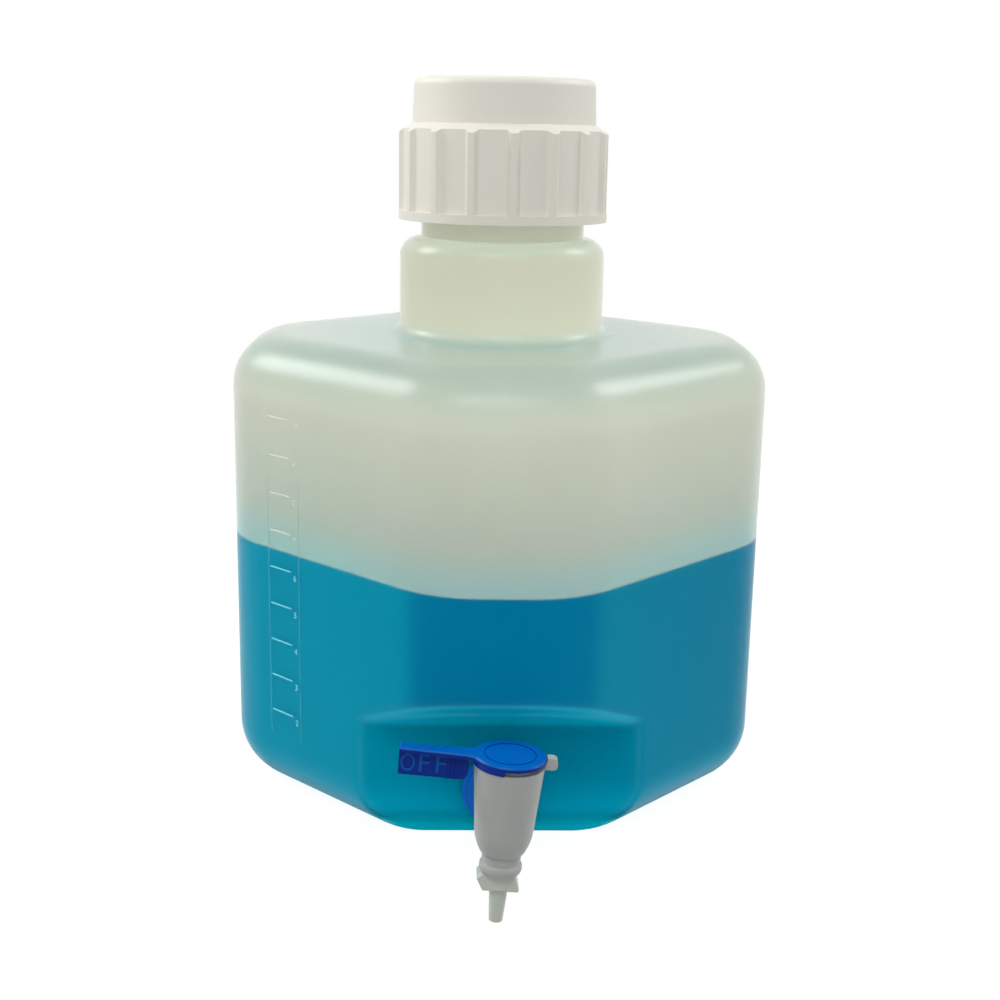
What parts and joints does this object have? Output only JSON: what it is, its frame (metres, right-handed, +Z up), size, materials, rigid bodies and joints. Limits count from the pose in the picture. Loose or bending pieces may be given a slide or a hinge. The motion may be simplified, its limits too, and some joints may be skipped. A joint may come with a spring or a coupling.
{
  "type": "carboy with spigot",
  "caption": "Square translucent plastic carboy with cut corners, wide neck, fluted screw cap and a lever tap in a recess at its foot, part filled.",
  "frame": {"origin": "middle of the base, on the plane that the base stands on", "axes": "+Z up along the neck's axis, the tap and its recess towards -Y, +X to the right as the tap is faced"},
  "size_m": [0.2744, 0.3087, 0.3784],
  "materials": {
    "translucent_polypropylene": "satin",
    "blue_liquid": "gloss",
    "white_polypropylene": "satin",
    "seal_rubber": "matte",
    "tap_white": "satin",
    "tap_blue": "satin",
    "natural_polypropylene": "satin"
  },
  "bodies": {
    "carboy": {"bottle": "translucent_polypropylene", "liquid": "blue_liquid", "tap_body": "tap_white", "clamp_collar": "tap_blue", "outer_seal": "seal_rubber", "inner_seal": "seal_rubber", "lock_nut": "tap_white", "nozzle": "natural_polypropylene"},
    "tap_lever": {"tap_key": "tap_blue"},
    "cap_lift": {"cap_gasket": "seal_rubber"},
    "cap": {"screw_cap": "white_polypropylene"}
  },
  "joints": [
    {"name": "tap_turn", "type": "hinge", "parent": "carboy", "child": "tap_lever", "pos_m": [0, -0.15501, 0.0267], "axis": [0.0645, 0, 0.9979], "range_deg": [0, 90]},
    {"name": "cap_rise", "type": "slide", "parent": "carboy", "child": "cap_lift", "axis": [0, 0, 1], "range_m": [0, 0.01801]},
    {"name": "cap_turn", "type": "hinge", "parent": "cap_lift", "child": "cap", "pos_m": [0, 0, 0.31], "axis": [0, 0, 1], "range_deg": [0, 810]}
  ],
  "couplings": [
    {"joint": "cap_rise", "follows": "cap_turn", "m_per_rad": 0.0012732}
  ]
}
